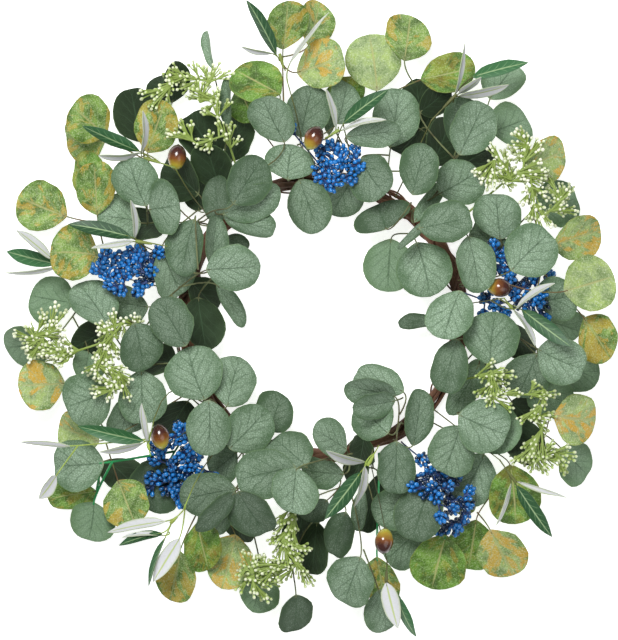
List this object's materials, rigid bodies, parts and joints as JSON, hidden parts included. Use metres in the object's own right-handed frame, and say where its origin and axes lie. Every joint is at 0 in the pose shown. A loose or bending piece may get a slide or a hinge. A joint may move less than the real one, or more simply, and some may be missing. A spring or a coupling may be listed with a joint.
{
  "type": "foliage wreath",
  "caption": "Round wreath of artificial eucalyptus, olive sprigs, berries and budding sprays on a twisted vine ring.",
  "frame": {"origin": "middle of the wreath's bounding box, on the plane that its back lies on", "axes": "+Z out of the wreath's face, +Y towards the top of the wreath as it hangs, +X to the right as its face is seen"},
  "size_m": [0.5864, 0.6069, 0.1236],
  "materials": {
    "vine": "rough dark bark",
    "eucalyptus_leaf": "matt grey-green with a pale dusty speckle",
    "mottled_leaf": "satin bright green with ochre patches",
    "olive_leaf": "satin deep green above, off-white below",
    "olive_skin": "glossy, dark red-brown fading to yellow-green at the stalk",
    "berry": "glossy royal blue",
    "seed_bud": "cream buds on yellow-green stalks",
    "stem": "satin green, like a covered wire"
  },
  "bodies": {
    "root": {"vine_ring": "vine", "eucalyptus_nnw": "eucalyptus_leaf", "eucalyptus_n": "eucalyptus_leaf", "eucalyptus_nne": "eucalyptus_leaf", "eucalyptus_ne": "eucalyptus_leaf", "eucalyptus_ene": "eucalyptus_leaf", "eucalyptus_e": "eucalyptus_leaf", "eucalyptus_ese": "eucalyptus_leaf", "eucalyptus_se": "eucalyptus_leaf", "eucalyptus_sse": "eucalyptus_leaf", "eucalyptus_ssse": "eucalyptus_leaf", "eucalyptus_s": "eucalyptus_leaf", "eucalyptus_ssw": "eucalyptus_leaf", "eucalyptus_sw": "eucalyptus_leaf", "eucalyptus_wsw": "eucalyptus_leaf", "eucalyptus_sw_outer": "eucalyptus_leaf", "eucalyptus_w": "eucalyptus_leaf", "eucalyptus_wnw": "eucalyptus_leaf", "eucalyptus_wnw_inner": "eucalyptus_leaf", "eucalyptus_nw": "eucalyptus_leaf", "mottled_nw": "mottled_leaf", "mottled_w": "mottled_leaf", "mottled_n": "mottled_leaf", "mottled_nne": "mottled_leaf", "mottled_e": "mottled_leaf", "mottled_se": "mottled_leaf", "mottled_s": "mottled_leaf", "mottled_ssw": "mottled_leaf", "mottled_wsw": "mottled_leaf", "olive_sprig_nw": "olive_leaf", "olive_sprig_n": "olive_leaf", "olive_sprig_top": "olive_leaf", "olive_sprig_ne": "olive_leaf", "olive_sprig_w": "olive_leaf", "olive_sprig_w_outer": "olive_leaf", "olive_sprig_e": "olive_leaf", "olive_sprig_wsw": "olive_leaf", "olive_sprig_sw": "olive_leaf", "olive_sprig_s": "olive_leaf", "olive_sprig_se": "olive_leaf", "olive_sprig_sse": "olive_leaf", "olive_fruit_nw": "olive_skin", "olive_fruit_n": "olive_skin", "olive_fruit_e": "olive_skin", "olive_fruit_wsw": "olive_skin", "olive_fruit_s": "olive_skin", "berry_bunch_w": "berry", "berry_bunch_n": "berry", "berry_bunch_e": "berry", "berry_bunch_sw": "berry", "berry_bunch_se": "berry", "seed_spray_nw": "seed_bud", "seed_spray_ne": "seed_bud", "seed_spray_w": "seed_bud", "seed_spray_se": "seed_bud", "seed_spray_s": "seed_bud"}
  },
  "joints": []
}
